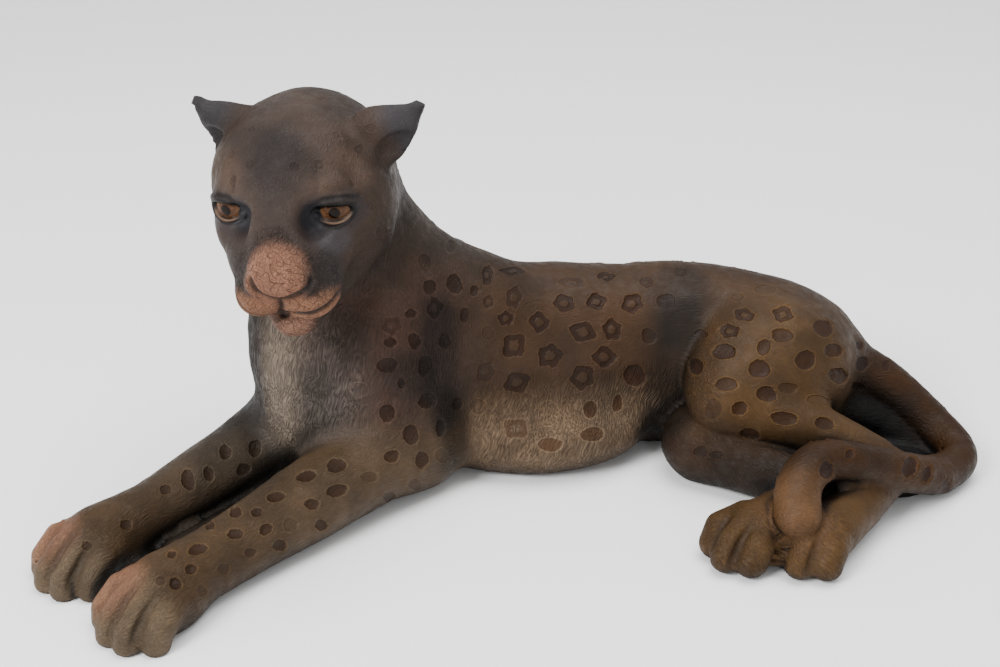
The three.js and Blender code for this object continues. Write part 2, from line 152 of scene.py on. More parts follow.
def distance_to(groups, points, margin=26.0):
    """Distance from each point to the sculpture, less than zero inside it."""
    whole = np.full(len(points), 1e3)
    for one in groups:
        own = np.full(len(points), 1e3)
        for form in one["forms"]:
            near = length(points - form["middle"]) < form["reach"] + margin
            if not near.any():
                continue
            d = form["distance"](points[near])
            if form["carved"]:
                own[near] = -blend(-own[near], d, form["soft"])
            else:
                own[near] = blend(own[near], d, form["soft"])
        whole = blend(whole, own, softness(one, points))
    return whole


# The sculpture's groups of forms
def torso():
    return group([
        ball((186, 24, 58), (56, 44, 51), soft=20),
        ball((152, 34, 68), (54, 40, 48), soft=20),
        ball((104, 36, 65), (66, 42, 57), soft=24),
        ball((36, 26, 66), (66, 46, 60), soft=24),
        ball((-20, 12, 78), (56, 44, 60), soft=20),
        ball((-66, 14, 84), (46, 40, 58), soft=20),
        ball((18, -3, 26), (79, 42, 31), soft=18),
        ball((110, 34, 30), (106, 38, 34), soft=12),
        ball((192, 20, 30), (44, 36, 34), soft=12),
    ], 18)


chest = Place((-92, -12, 0), CHEST_HEADING)


def chest_forms():
    forms = [
        ball((14, -5, 84), (50, 51, 62), chest, 16),
        ball((34, -2, 64), (34, 34, 50), chest, 14),
        limb([(13, -10, 112, 47), (13, -11, 150, 43), (10, -11, 184, 38)], chest, 18),
        limb([(38, -4, 96, 28), (38, -6, 130, 27), (34, -10, 160, 25)], chest, 14),
    ]
    for side in SIDES:
        forms.append(ball((6, 38 * side - 1, 88), (34, 22, 52), chest, 12))
        forms.append(ball((-24, 34 * side, 104), (32, 20, 38), chest, 14))
        forms.append(ball((-14, 40 * side, 60), (34, 22, 44), chest, 12))
    return group(forms, 20)


def nape():
    route = [(-104, -22, 210, 36), (-92, -8, 174, 36), (-70, 2, 138, 38), (-38, 10, 100, 40)]
    return group([limb(route, soft=16)], 22)


def foreleg_place(side):
    return Place(chest.at((4, FORELEG_SPREAD * side + 6, 0)), CHEST_HEADING + 2)


def paw_place(side):
    leg = foreleg_place(side)
    return Place(leg.at((188 + 1.5 * side, side - 1, 0)), CHEST_HEADING + 8)


def foreleg(side):
    leg, paw = foreleg_place(side), paw_place(side)
    forms = [
        limb([(-10, 6 * side, 31, 31), (22, 3 * side, 31, 29 - 2 * side), (76, side, 26, 24.5),
              (140, 0, 20.5, 20), (178, 0, 19.5, 20.5)], leg, 10),
        ball((-2, 0, 15), (30, 26, 20), paw, 8),
    ]
    for across, reach in ((-19.5, 10), (-7, 18), (6.5, 18), (19.5, 9)):
        forms.append(limb([(reach - 24, across * 0.72, 20, 8.5), (reach - 2, across * 0.96, 19.5, 9.6),
                           (reach + 8, across, 12, 9.4), (reach + 10, across, 6, 8.6)], paw, 2.4))
    return group(forms, 16, leg.at((-6, 0, 56)), 62)


# A sheet low between the forelegs that fills the gap there; it is painted nearly black as painted shade
def foreleg_web():
    return group([limb([(20, 0, 6, 16), (150, 0, 6, 13)], foreleg_place(0))], 4)


left_foot = Place((188, -123, 0), 57)
right_foot = Place((149, -119, 0), 46)


def hind_toes(foot, side):
    forms = [ball((0, 0, 16), (24, 19, 17), foot, 6)]
    for across, reach in ((-13.5, 7), (0, 13), (13.5, 6)):
        forms.append(limb([(reach - 16, across * side * 0.8, 20, 9), (reach + 3, across * side, 18, 10.5),
                           (reach + 9, across * side, 11, 10)], foot, 2.2))
    return forms


def left_hindleg():
    forms = [
        ball((174, -2, 66), (54, 36, 46), soft=14),
        limb([(176, -8, 64, 38), (146, -24, 62, 27)], soft=12),
        limb([(146, -30, 58, 24), (190, -42, 46.5, 19), (234, -56, 31, 14.5)], soft=8),
        limb([(248, -56, 22, 14), (218, -94, 20, 16), (198, -118, 18, 17)], soft=6),
    ]
    return group(forms + hind_toes(left_foot, LEFT), 14, (205, 10, 92), 46)


def right_hindleg():
    forms = [
        limb([(176, 10, 38, 32), (134, -24, 25, 25)], soft=12),
        limb([(132, -26, 24, 25), (178, -60, 20, 18), (202, -74, 18, 16)], soft=10),
        limb([(198, -78, 18, 15), (172, -100, 18, 16), (156, -116, 18, 17)], soft=6),
    ]
    return group(forms + hind_toes(right_foot, RIGHT), 6, (176, 20, 30), 30)


TAIL_ROUTE = (
    (218, 20, 64, 18), (254, 16, 46, 16), (287, 0, 22, 14), (299, -26, 14, 12.5), (281, -50, 15, 12.5),
    (250, -72, 30, 12.5), (218, -86, 45, 12.5), (192, -96, 52, 13), (178, -112, 47, 13.5),
    (175, -127, 33, 14.5),
)


def tail_points(steps=40):
    """The route as one smooth curve through its points, even in its knots as the solid's is."""
    knots = [np.array(p, float) for p in TAIL_ROUTE]
    knots = [2 * knots[0] - knots[1]] + knots + [2 * knots[-1] - knots[-2]]
    points = []
    last = len(TAIL_ROUTE) - 1
    for i in range(steps + 1):
        share = i / steps * last
        low = min(int(share), last - 1)
        p = knots[low:low + 4]
        gaps = [max(np.linalg.norm(p[k + 1][:3] - p[k][:3]) ** 0.5, 1e-3) for k in range(3)]
        t = [0, gaps[0], gaps[0] + gaps[1], sum(gaps)]
        at = t[1] + (share - low) * gaps[1]

        def between(a, b, ta, tb):
            return (a * (tb - at) + b * (at - ta)) / (tb - ta)

        first = [between(p[k], p[k + 1], t[k], t[k + 1]) for k in range(3)]
        second = [between(first[k], first[k + 1], t[k], t[k + 2]) for k in range(2)]
        points.append(tuple(between(second[0], second[1], t[1], t[2])))
    return points


def tail():
    return group([limb(tail_points())], 12, TAIL_ROUTE[0][:3], 22)


# A sheet inside the tail's loop that fills the gap there; it is painted nearly black as painted shade
def tail_web():
    return group([
        ball((246, -16, 1), (48, 42, 13)),
        limb([(216, 14, 36, 20), (250, 10, 22, 17), (280, 0, 8, 12)]),
    ], 4)


head = Place((-115, -54, 216), HEAD_HEADING, HEAD_NOD, HEAD_ROLL)


def eye_place(side):
    return Place(head.at((31, EYE_SPREAD * side + 0.5, 3)), HEAD_HEADING + EYE_TURN * side, 4, HEAD_ROLL)


def skull():
    forms = [
        ball((-8, -3.5, 7), (50, 48, 38), head),
        ball((14, -3, 14.5), (35, 37, 28), head, 10),
        ball((18, 4, -34), (36, 24, 16), head, 14),
        ball((-34, 0, -4), (36, 42, 42), head, 14),
        limb([(26, 1, 9, 24), (50, 3, -4, 21), (68, 6, -15, 17)], head, 10),
        ball((56, 5, -26), (27, 28, 20), head, 8),
        ball((77, 8, -15), (13.5, 17, 12.5), head, 6),
        ball((79, -5, -20), (8, 7, 6.5), head, 3),
        ball((77, 22, -20), (8, 7, 6.5), head, 3),
        ball((58, 7.5, -50.5), (19, 15.5, 12.5), head, 3),
    ]
    for side in SIDES:
        forms.append(ball((2, 34 * side + 3, -12), (32, 19, 30), head, 10))
        forms.append(ball((27, 31 * side + 2, -13), (21, 14, 14), head, 8))
        forms.append(ball((42, 20 * side + 3, -19), (22, 15, 17), head, 10))
        forms.append(ball((65, 14.5 * side + 7, -33), (20, 15, 13), head, 5))
        forms.append(limb([(4, 30 * side + 2, -34, 17), (52, 9 * side + 8, -47, 11)], head, 8))
        forms.append(carve(ball((54, 21 * side + 2, 4), (9, 7, 8), head, 8)))
        forms.append(ball((31, 19 * side + 1, 16), (13, 16, 8), head, 8))
    for side in SIDES:
        forms += lids(side) + ear(side)
    return group(forms, 18, head.at((-30, 0, -40)), 60)


OPENING = (16, 0, 0.1)
OPENING_RADII = (14, 13.8, 6.2)


def lids(side):
    eye = eye_place(side)
    lid = EYE_RADIUS + LID_THICKNESS
    rim = []
    for i in range(25):
        turn = math.tau * i / 24
        y, z = 10.8 * math.cos(turn), OPENING[2] + 6.3 * math.sin(turn)
        rim.append((math.sqrt(max(13.2 ** 2 - y * y - z * z, 1)), y, z, 1.15))
    return [
        ball((0, 0, 0), (lid, lid, lid), eye, 5),
        carve(ball(OPENING, OPENING_RADII, eye, 1.0)),
        limb(rim, eye, 1.4),
        limb([(EYE_RADIUS - 7, -12, 4.5, 2.2), (EYE_RADIUS - 1, -4, 7.6, 2.7), (EYE_RADIUS - 1, 4, 7.6, 2.7),
              (EYE_RADIUS - 7, 12, 5, 2.2)], eye, 2.5),
        ball((8.5, -10.8 * side, -1.6), (3.2, 3.6, 3), eye, 1),
        ball((0, 0, 0), (EYE_RADIUS - 0.8,) * 3, eye, 0.2),
    ]


def ear_place(side):
    return Place(head.at((-8, 37 * side + 6, 24)), HEAD_HEADING + 92 * side, -22, 0)


def ear(side):
    leaf = ear_place(side)
    return [
        ball((4, 0, 0), (17, 9, 18), leaf, 6),
        ball((14, 0, 3), (15, 7, 12), leaf, 5),
        limb([(16, 0, 5, 7), (35.5, 0, 8.5 + 1.5 * side, 2.2)], leaf, 4),
        limb([(14, 0, -5, 6.5), (33, 0, 7, 2.4)], leaf, 5),
        carve(ball((16, -8 * side, -8), (14, 7.5, 8.5), leaf, 3)),
    ]


# The skin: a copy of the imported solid, made even and drawn onto the forms
def in_scene(name, data):
    thing = bpy.data.objects.new(name, data)
    bpy.context.scene.collection.objects.link(thing)
    return thing


def new_piece(name, built):
    mesh = bpy.data.meshes.new(name)
    built.to_mesh(mesh)
    built.free()
    return in_scene(name, mesh)


def joined_copy(names):
    whole = bmesh.new()
    for name in names:
        whole.from_mesh(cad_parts[name].data)
    for side in SIDES:
        socket = Matrix.Translation(Vector((eye_place(side).origin - SHIFT) / 1000))
        bmesh.ops.create_icosphere(whole, subdivisions=4, radius=(EYE_RADIUS + 0.9) / 1000, matrix=socket)
    bmesh.ops.remove_doubles(whole, verts=whole.verts, dist=1e-6)
    return new_piece("panther", whole)


def keep_result(piece):
    """Makes what the piece's modifiers show its own mesh."""
    depsgraph = bpy.context.evaluated_depsgraph_get()
    shown = bpy.data.meshes.new_from_object(piece.evaluated_get(depsgraph))
    piece.modifiers.clear()
    piece.data = shown


def vectors_of(mesh, kind):
    vectors = np.empty(len(mesh.vertices) * 3)
    mesh.vertices.foreach_get(kind, vectors)
    return vectors.reshape(-1, 3)


def points_of(mesh):
    return vectors_of(mesh, "co") * 1000 + SHIFT


def set_points(mesh, points):
    mesh.vertices.foreach_set("co", ((points - SHIFT) / 1000).ravel())
    mesh.update()


def settle(points, forms, rounds=3, most=2.5):
    """Draws the points onto the sculpture's surface, a little at a time."""
    for _ in range(rounds):
        here = distance_to(forms, points)
        rises = [distance_to(forms, points + SETTLE_STEP * axis) - here for axis in np.eye(3)]
        rise = np.stack(rises, 1) / SETTLE_STEP
        steep = np.maximum((rise * rise).sum(1), 0.25)
        move = -here[:, None] * rise / steep[:, None]
        size = np.linalg.norm(move, axis=1, keepdims=True)
        points = points + move * np.minimum(1, most / np.maximum(size, 1e-9))
    points[:, 2] = np.maximum(points[:, 2], SHIFT[2])
    return points


def face_area(points):
    """Where the skin is made twice as fine: round the eyes, on the nose and along the mouth."""
    near = length((head.local(points) - (72, 7, -28)) / (30, 36, 36)) < 1
    for side in SIDES:
        near |= length(eye_place(side).local(points) - (11, 0, 0)) < 19
        near |= length(ear_place(side).local(points) - (24, 0, 0)) < 20
    return near


def toe_area(points):
    near = np.zeros(len(points), bool)
    for foot in (paw_place(LEFT), paw_place(RIGHT), left_foot, right_foot):
        q = foot.local(points)
        near |= (q[:, 0] > -8) & (np.abs(q[:, 1]) < 24) & (q[:, 0] < 40) & (q[:, 2] > 4) & (q[:, 2] < 40)
    return near


def lid_area(points):
    """Where it is made finer once more: along the lids' edges."""
    near = np.zeros(len(points), bool)
    for side in SIDES:
        q = eye_place(side).local(points)
        near |= (q[:, 0] > 3) & (q[:, 0] < 18) & (np.hypot(q[:, 1] / 14, q[:, 2] / 9.5) < 1)
    return near


def make_skin(forms):
    piece = joined_copy(["panther_body", "left_eye", "right_eye"])
    even = piece.modifiers.new("even", "REMESH")
    even.mode = "VOXEL"
    even.voxel_size = SKIN_CELL / 1000
    keep_result(piece)
    points = settle(points_of(piece.data), forms)
    set_points(piece.data, points)
    fine = bmesh.new()
    fine.from_mesh(piece.data)
    for area in (face_area, lid_area, toe_area):
        chosen = area(np.array([v.co for v in fine.verts]) * 1000 + SHIFT)
        fine.verts.index_update()
        edges = [e for e in fine.edges if chosen[e.verts[0].index] and chosen[e.verts[1].index]]
        bmesh.ops.subdivide_edges(fine, edges=edges, cuts=1, use_grid_fill=True)
        bmesh.ops.triangulate(fine, faces=[f for f in fine.faces if len(f.verts) > 4])
    fine.to_mesh(piece.data)
    fine.free()
    set_points(piece.data, settle(points_of(piece.data), forms, 2))
    piece.data.shade_smooth()
    return piece


# The coat's spots
# Each row is a place in millimetres, half the width, half the height and the depth's share
RINGS = (
    (-8, -7, 135, 3.1, 6.3, 1), (8, 7, 131, 7, 2.5, 1), (46, 10, 122, 7.7, 3.2, 0.5),
    (69, 21, 121, 5.2, 2.6, 1), (95, 19, 118, 4.5, 3.2, 0.5), (118, 28, 121, 3.9, 2.6, 0.5),
    (9, -11, 121, 5, 6.3, 0.6), (-7, -20, 122, 3.1, 4.4, 0.6), (4, -21, 111, 4.4, 4.4, 1),
    (25, -14, 105, 5.7, 6.3, 1), (41, -3, 113, 6.4, 5.1, 1), (62, 2, 112, 6.4, 4.5, 1),
    (85, 5, 109, 6.4, 5.8, 1), (9, -25, 94, 6.9, 7.6, 1), (32, -20, 84, 7, 7.6, 1),
    (53, -12, 97, 7.6, 6.4, 1), (72, -7, 96, 5.8, 6.4, 1), (67, -14, 80, 7.7, 5.8, 1),
    (53, -19, 68, 7.7, 7.1, 1), (11, -26, 68, 7.6, 6.4, 0.9), (-9, -32, 79, 5, 6.3, 0.5),
    (10, -39, 42, 7, 6.4, 0.6), (155, -9, 108, 6.3, 3.8, 1), (179, -12, 110, 6.3, 4.4, 1),
    (145, -16, 100, 6.3, 3.8, 1), (-40, -39, 127, 4.3, 6.1, 1), (-65, -58, 125, 5.4, 5.4, 0.5),
)
PITS = (
    (107, 8, 109, 5.2, 5.2, 0.5), (96, -4, 90, 4.5, 5.1, 0.6), (87, -11, 65, 7.1, 6.5, 1),
    (58, -27, 49, 4.5, 5.1, 1), (76, -19, 49, 3.2, 5.2, 1), (59, -38, 37, 7, 4.5, 0.9),
    (32, -44, 33, 7, 4.5, 0.8), (129, -6, 93, 3.8, 2.6, 0.5), (205, -14, 101, 6.3, 5.1, 0.9),
    (177, -26, 102, 6.9, 3.8, 0.9), (141, -27, 91, 7.5, 4.4, 1), (165, -31, 96, 3.8, 5, 0.9),
    (211, -22, 89, 5.1, 4.4, 0.9), (236, 12, 75, 2, 2.6, 0.8), (124, -24, 79, 4.4, 5.1, 1),
    (162, -39, 85, 6.9, 5, 1), (191, -35, 89, 6.2, 5.6, 1), (237, 3, 66, 3.9, 4.6, 0.9),
    (141, -46, 78, 6.2, 4.4, 1), (215, -26, 73, 5.7, 5.1, 1), (235, 1, 50, 4.6, 2.6, 0.9),
    (166, -48, 72, 6.2, 4.4, 1), (180, -44, 74, 6.2, 3.1, 0.5), (133, -51, 63, 5, 6.2, 0.5),
    (149, -54, 65, 4.4, 4.4, 1), (177, -56, 59, 7.5, 4.4, 1), (202, -57, 56, 5.6, 3.7, 1),
    (157, -53, 46, 6.3, 3.1, 1), (254, 8, 62, 2.6, 3.3, 0.5), (127, -51, 32, 4.4, 3.2, 0.7),
    (136, -55, 32, 3.8, 2.5, 0.7), (-43, -34, 139, 3.7, 4.9, 1), (-28, -25, 137, 4.3, 6.2, 1),
    (-46, -27, 152, 3.7, 5.5, 0.5), (-31, -4, 153, 3.1, 3.7, 0.5), (-16, -20, 130, 2.5, 3.1, 0.9),
    (-22, -30, 118, 2.5, 5, 0.9), (-54, -48, 128, 3, 3, 1), (-66, -63, 116, 3.6, 3, 1),
    (-52, -52, 111, 3.7, 4.9, 1), (-34, -40, 105, 3.7, 4.3, 1), (-68, -66, 102, 6.6, 4.2, 1),
    (-46, -50, 93, 4.3, 6.2, 1), (-45, -53, 70, 5, 5, 1), (-69, -67, 69, 4.3, 5.5, 1),
    (-60, -63, 88, 2.4, 3, 1), (-55, -67, 54, 4.9, 5.6, 1), (-37, -55, 52, 3.1, 5, 1),
    (-27, -39, 60, 3.2, 3.8, 1), (-66, -81, 47, 4.3, 3.7, 1), (-48, -71, 38, 3.7, 5.6, 1),
    (-53, -75, 23, 3.7, 3.7, 0.5), (-68, -87, 21, 3.7, 3.1, 0.8), (-98, -98, 51, 6, 3.6, 1),
    (-115, -108, 50, 5.9, 3, 1), (-97, -110, 41, 6, 3.6, 1), (-131, -126, 47, 4.7, 2.9, 1),
    (-79, -95, 41, 4.8, 3, 0.5), (-111, -122, 39, 4.1, 2.9, 1), (-153, -139, 45, 3.5, 2.9, 1),
    (-141, -138, 44, 2.9, 2.3, 1), (-135, -145, 37, 3.5, 2.9, 1), (-166, -150, 43, 2.3, 2.3, 1),
    (-151, -154, 40, 4, 2.9, 1), (-106, -123, 25, 3.6, 3, 1), (-128, -144, 25, 4.1, 2.9, 1),
    (-143, -157, 29, 3.4, 2.3, 0.7), (-170, -169, 40, 5.1, 2.8, 1), (-183, -176, 41, 2.2, 2.2, 1),
    (-172, -181, 35, 2.8, 2.8, 1), (-179, -192, 33, 2.8, 3.3, 1), (-156, -171, 28, 3.4, 2.8, 0.5),
    (-166, -186, 24, 2.8, 2.8, 0.5), (-187, -192, 35, 2.2, 2.2, 0.5), (-152, -64, 44, 3.7, 3.7, 0.8),
    (-158, -77, 35, 3.7, 3.7, 0.8), (-188, -98, 41, 3.6, 6.6, 1), (-177, -90, 40, 3, 4.3, 1),
    (-169, -74, 46, 3.7, 4.3, 1), (-152, -66, 42, 3.7, 3.7, 0.8), (-159, -78, 35, 3.1, 3.1, 0.8),
    (-200, -107, 40, 3, 3, 0.8), (-218, -136, 34, 2.9, 2.9, 0.8), (-238, -151, 30, 2.3, 2.3, 0.7),
    (193, -111, 56, 4.1, 4.7, 1), (209, -98, 59, 2.4, 2.4, 0.8), (251, -82, 40, 4.3, 6.1, 1),
    (264, -77, 32, 2.5, 4.9, 1), (280, -67, 17, 2.5, 3.1, 0.8),
)
OUTLINES = (
    (-7, -29, 105, 3.7, 4.4, 0.6), (-14, -32, 54, 5.1, 4.5, 0.8), (31, -32, 49, 6.4, 7, 0.8),
    (172, 17, 113, 6.5, 3.2, 0.9), (153, 8, 112, 3.2, 2.6, 0.9), (199, -45, 66, 6.3, 3.1, 0.9),
    (-36, -62, 36, 3.8, 4.4, 0.8), (-85, -71, 88, 4.8, 4.2, 0.8), (-122, -136, 34, 4.1, 3.5, 0.8),
)

CARVED_FROM = np.array((0.0, -891.0, 544.0))  # where the sculptor's tool came from


def unit(v):
    return v / np.linalg.norm(v)


def make_spot(centre, inward, wide, high, deep, kind):
    right = unit(np.cross(inward, (0, 0, 1)))
    return {"centre": centre, "inward": inward, "right": right, "up": np.cross(right, inward),
            "wide": wide, "high": high, "deep": deep, "kind": kind}


def listed_spots():
    spots = []
    for kind, rows in (("ring", RINGS), ("pit", PITS), ("outline", OUTLINES)):
        for x, y, z, wide, high, deep in rows:
            centre = np.array((x, y, z), float)
            spots.append(make_spot(centre, unit(centre - CARVED_FROM), wide, high, deep, kind))
    return spots


def scatter_spots(points, normals, where, taken, spacing, size, kinds, deep, seed):
    """Fills an area with spots of its own, none nearer to another than the spacing."""
    random = np.random.default_rng(seed)
    candidates = np.flatnonzero(where)
    random.shuffle(candidates)
    centres = [s["centre"] for s in taken]
    spots = []
    for i in candidates[:6000]:
        if centres and length(np.array(centres) - points[i]).min() < spacing:
            continue
        centres.append(points[i])
        wide, high = size * random.uniform(0.8, 1.2, 2)
        kind = kinds[random.integers(len(kinds))]
        spots.append(make_spot(points[i], -normals[i], wide, high, deep, kind))
    return spots


def spot_fields(points, normals, spots):
    """For each point: how far it is outside its nearest spot, how far inside a ring's core, and the depth."""
    outside = np.full(len(points), 8.0)
    core = np.full(len(points), -8.0)
    deep = np.zeros(len(points))
    painted = np.zeros(len(points))
    for number, spot in enumerate(spots):
        away = points - spot["centre"]
        reach = max(spot["wide"], spot["high"]) + 9
        near = np.flatnonzero((np.abs(away @ spot["inward"]) < 15) & (length(away) < reach * 1.6))
        near = near[normals[near] @ spot["inward"] < -0.05]
        x = away[near] @ spot["right"] / spot["wide"]
        y = away[near] @ spot["up"] / spot["high"]
        angle = np.arctan2(y, x)
        lobes, swell = (5 - number % 2, 0.13) if spot["kind"] == "ring" else (3, 0.04)
        wave = 1 + 0.07 * np.sin(2 * angle + number) + swell * np.sin(lobes * angle + 2.3 * number)
        share = np.hypot(x, y) / wave
        size = math.sqrt(spot["wide"] * spot["high"])
        rim = (share - 1) * size
        nearer = rim < outside[near]
        at = near[nearer]
        outside[at] = rim[nearer]
        deep[at] = spot["deep"]
        painted[at] = 0.0 if spot["kind"] == "outline" else 1.0
        core[at] = (0.5 - share[nearer]) * size if spot["kind"] == "ring" else -8.0
    return outside, core, deep, painted


# Grooves cut into the face: width, depth and route in millimetres, by the head's own forward, left and up
FACE_GROOVES = (
    (1.7, 2.6, ((87, 8, -27), (86, 14, -25.5), (84.5, 20, -23), (82, 25, -19.5), (80.5, 27.5, -16))),
    (1.7, 2.6, ((87, 8, -27), (88, 3, -25), (88, -2, -22), (88, -5, -17), (87, -7, -14))),
    (1.25, 1.7, ((86, 9, -27.5), (82, 7.4, -34), (76, 4.4, -41))),
    (1.5, 2.4, ((75, 4, -43.5), (80, -5, -40.5), (83, -12, -37), (81, -17, -33.5), (75, -22, -31))),
    (1.5, 2.4, ((75, 4, -43.5), (80, 11, -40), (84, 18, -36.5), (81, 30, -35), (76, 34, -34), (69, 36, -33),
                (58, 37, -36))),
    (1.1, 1.8, ((33, 24, 30), (37.5, 24, 26.3), (42.5, 24.7, 21.6), (45.2, 24.7, 16.3))),
    (1.1, 1.2, ((38, -22, 28), (41.8, -22.6, 24), (45.4, -22.4, 18.5))),
)
# The crease over each eye, by the eye's own forward, outward and up
LID_CREASE = (1.3, 1.2, ((8, -14, 5), (12, -5, 9.2), (12, 4, 9.2), (7, 12, 7), (0, 19, 5.5)))


def crease_between_toes(leg, paw, across, angles):
    """Points on the paw's skin, over the top and down the front, between two toes."""
    points = []
    for angle in angles:
        start = np.array((-6 + 0.3 * abs(across), across, 9))
        way = np.array((math.cos(math.radians(angle)), 0.004 * across, math.sin(math.radians(angle))))
        far = 6.0
        for _ in range(12):
            far -= distance_to(leg, paw.at(start + far * way)[None, :])[0]
        points.append(paw.at(start + far * way))
    return points


def grooves():
    """All grooves as width, depth, route and how far each point of the route bites."""
    cuts = []
    for width, deep, route in FACE_GROOVES:
        bites = [1.0] * len(route) if width > 1.1 else [0.05, 0.55, 0.45, 0.05][:len(route)]
        cuts.append((width, deep, [head.at(p) for p in route], bites))
    width, deep, route = LID_CREASE
    for side in SIDES:
        eye = eye_place(side)
        cuts.append((width, deep, [eye.at((x, y * side, z)) for x, y, z in route], [0.3, 1.0, 1.0, 1.0, 0.2]))
    angles = (74, 62, 50, 38, 26, 14, 4)
    for side in SIDES:
        for across in (-13, 0.5, 13):
            route = crease_between_toes([parts["foreleg " + NAMES[side]]], paw_place(side), across, angles)
            cuts.append((2.4, 2.5, route, [0.0, 0.3, 0.8, 1.0, 1.0, 0.9, 0.6]))
    for foot, side in ((left_foot, LEFT), (right_foot, RIGHT)):
        for across in (-7, 7):
            route = crease_between_toes([parts[NAMES[side] + " hindleg"]], foot, across * side, angles)
            cuts.append((2.4, 2.2, route, [0.0, 0.2, 0.7, 1.0, 1.0, 0.9, 0.6]))
    return cuts


def groove_fields(points, normals):
    """How deep the grooves are at each point, and how near the point is to one, from 0 to 1."""
    deepest, line = np.zeros(len(points)), np.zeros(len(points))
    for width, deep, route, bites in grooves():
        middle = sum(route) / len(route)
        near = np.flatnonzero(length(points - middle) < 45)
        p, n = points[near], normals[near]
        aside, bite = np.full(len(near), 99.0), np.zeros(len(near))
        for start, end, bite_from, bite_to in zip(route, route[1:], bites, bites[1:]):
            t, gap = off_line(p, start, end)
            lift = (gap * n).sum(1)
            gap = gap - lift[:, None] * n
            here = length(gap) + np.maximum(np.abs(lift) - 5, 0)
            bite = np.where(here < aside, bite_from + (bite_to - bite_from) * t, bite)
            aside = np.minimum(aside, here)
        deepest[near] = np.maximum(deepest[near], deep * bite * np.exp(-(aside / width) ** 2))
        # A dark band along each groove: dark lines along the nose and mouth, and painted shade in the creases
        # over the eyes and between the toes
        dark = bite * smoothstep(-aside, -1.7 * width, -0.7 * width) * (0.5 if width > 2 else 1)
        line[near] = np.maximum(line[near], dark)
    return deepest, line


# Relief and paint
def noise_at(points, scale, seed=0.0):
    """Soft noise from -1 to 1, whose waves are about as long as the scale in millimetres."""
    scaled = points / scale + seed
    return np.array([perlin(Vector(p)) for p in scaled])


def to_linear(colour):
    c = np.array(colour, float) / 255
    return np.where(c <= 0.04045, c / 12.92, ((c + 0.055) / 1.055) ** 2.4)


def belonging(points, parts):
    """How much each point belongs to each part of the figure; the shares add up to one."""
    near = np.stack([distance_to([one], points, 60.0) for one in parts.values()], 1)
    share = np.clip(1 - (near - near.min(1, keepdims=True)) / 16, 0, 1) ** 1.5
    share /= share.sum(1, keepdims=True)
    return dict(zip(parts, share.T))


def hollowness(forms, points, normals):
    """From 0 on open crests to 1 deep between two forms."""
    closed = np.zeros(len(points))
    reaches = (4.0, 10.0, 20.0, 36.0)
    for reach in reaches:
        room = distance_to(forms, points + normals * reach, 40.0)
        closed += np.clip(1 - room / reach, 0, 1) / len(reaches)
    return closed


def fur_strength(points, shares):
    """How deep the fur is carved: bold on belly, breast, muzzle and toes, shallow on the flanks."""
    own = {"torso": 0.16, "chest": 0.5, "nape": 0.35, "foreleg left": 0.3, "foreleg right": 0.3, "tail": 0.35,
           "left hindleg": 0.22, "right hindleg": 0.5, "skull": 0.24}
    strength = sum(own.get(part, 0.2) * share for part, share in shares.items())
    q, c = head.local(points), chest.local(points)
    bold = [
        shares["torso"] * smoothstep(-points[:, 2], -80, -50),
        shares["chest"] * smoothstep(c[:, 0], 20, 44),
        shares["skull"] * smoothstep(-length((q - (76, 8, -28)) / (34, 36, 40)), -1.1, -0.8) * 0.85,
        shares["left hindleg"] * smoothstep(-points[:, 0], -150, -128) * 0.7,
    ]
    for foot in (left_foot, right_foot, paw_place(LEFT), paw_place(RIGHT)):
        bold.append(smoothstep(-length(foot.local(points) - (8, 0, 10)), -44, -24) * 0.6)
    for one in bold:
        strength = np.maximum(strength, one)
    return strength


def eye_rim(points):
    """The shares of the two eyes' openings: 1 on the lid's edge, more outside it; 9 away from the eyes."""
    rim = np.full(len(points), 9.0)
    for side in SIDES:
        q = eye_place(side).local(points)
        share = np.hypot(q[:, 1] / 11.2, (q[:, 2] - OPENING[2]) / 6.4)
        rim = np.where((q[:, 0] > 1) & (share < rim), share, rim)
    return rim


# Painted shade: dark passes laid where shade falls between the forms, from one place to another, with a
# radius in millimetres and a strength
PAINTED_SHADES = (
    ((118, 22, 120), (116, 0, 96), 18, 0.5),
    ((116, 0, 96), (112, -24, 44), 20, 0.62),
    ((256, -30, 4), (246, -18, 30), 30, 0.8),
    ((-40, -36, 120), (-34, -52, 60), 15, 0.6),
    ((-30, -44, 60), (-24, -56, 30), 16, 0.6),
    ((-72, -60, 168), (-56, -34, 190), 26, 0.4),
    ((-62, -58, 96), (-50, -52, 84), 16, 0.4),
    ((-158, -28, 140), (-150, -34, 40), 32, 0.62),
    ((-116, 34, 60), (-180, -46, 30), 22, 0.3),
    ((150, -60, 36), (190, -70, 36), 24, 0.3),
    ((168, -112, 16), (170, -140, 4), 9, 0.8),
    ((232, 4, 34), (262, -14, 14), 20, 0.6),
)


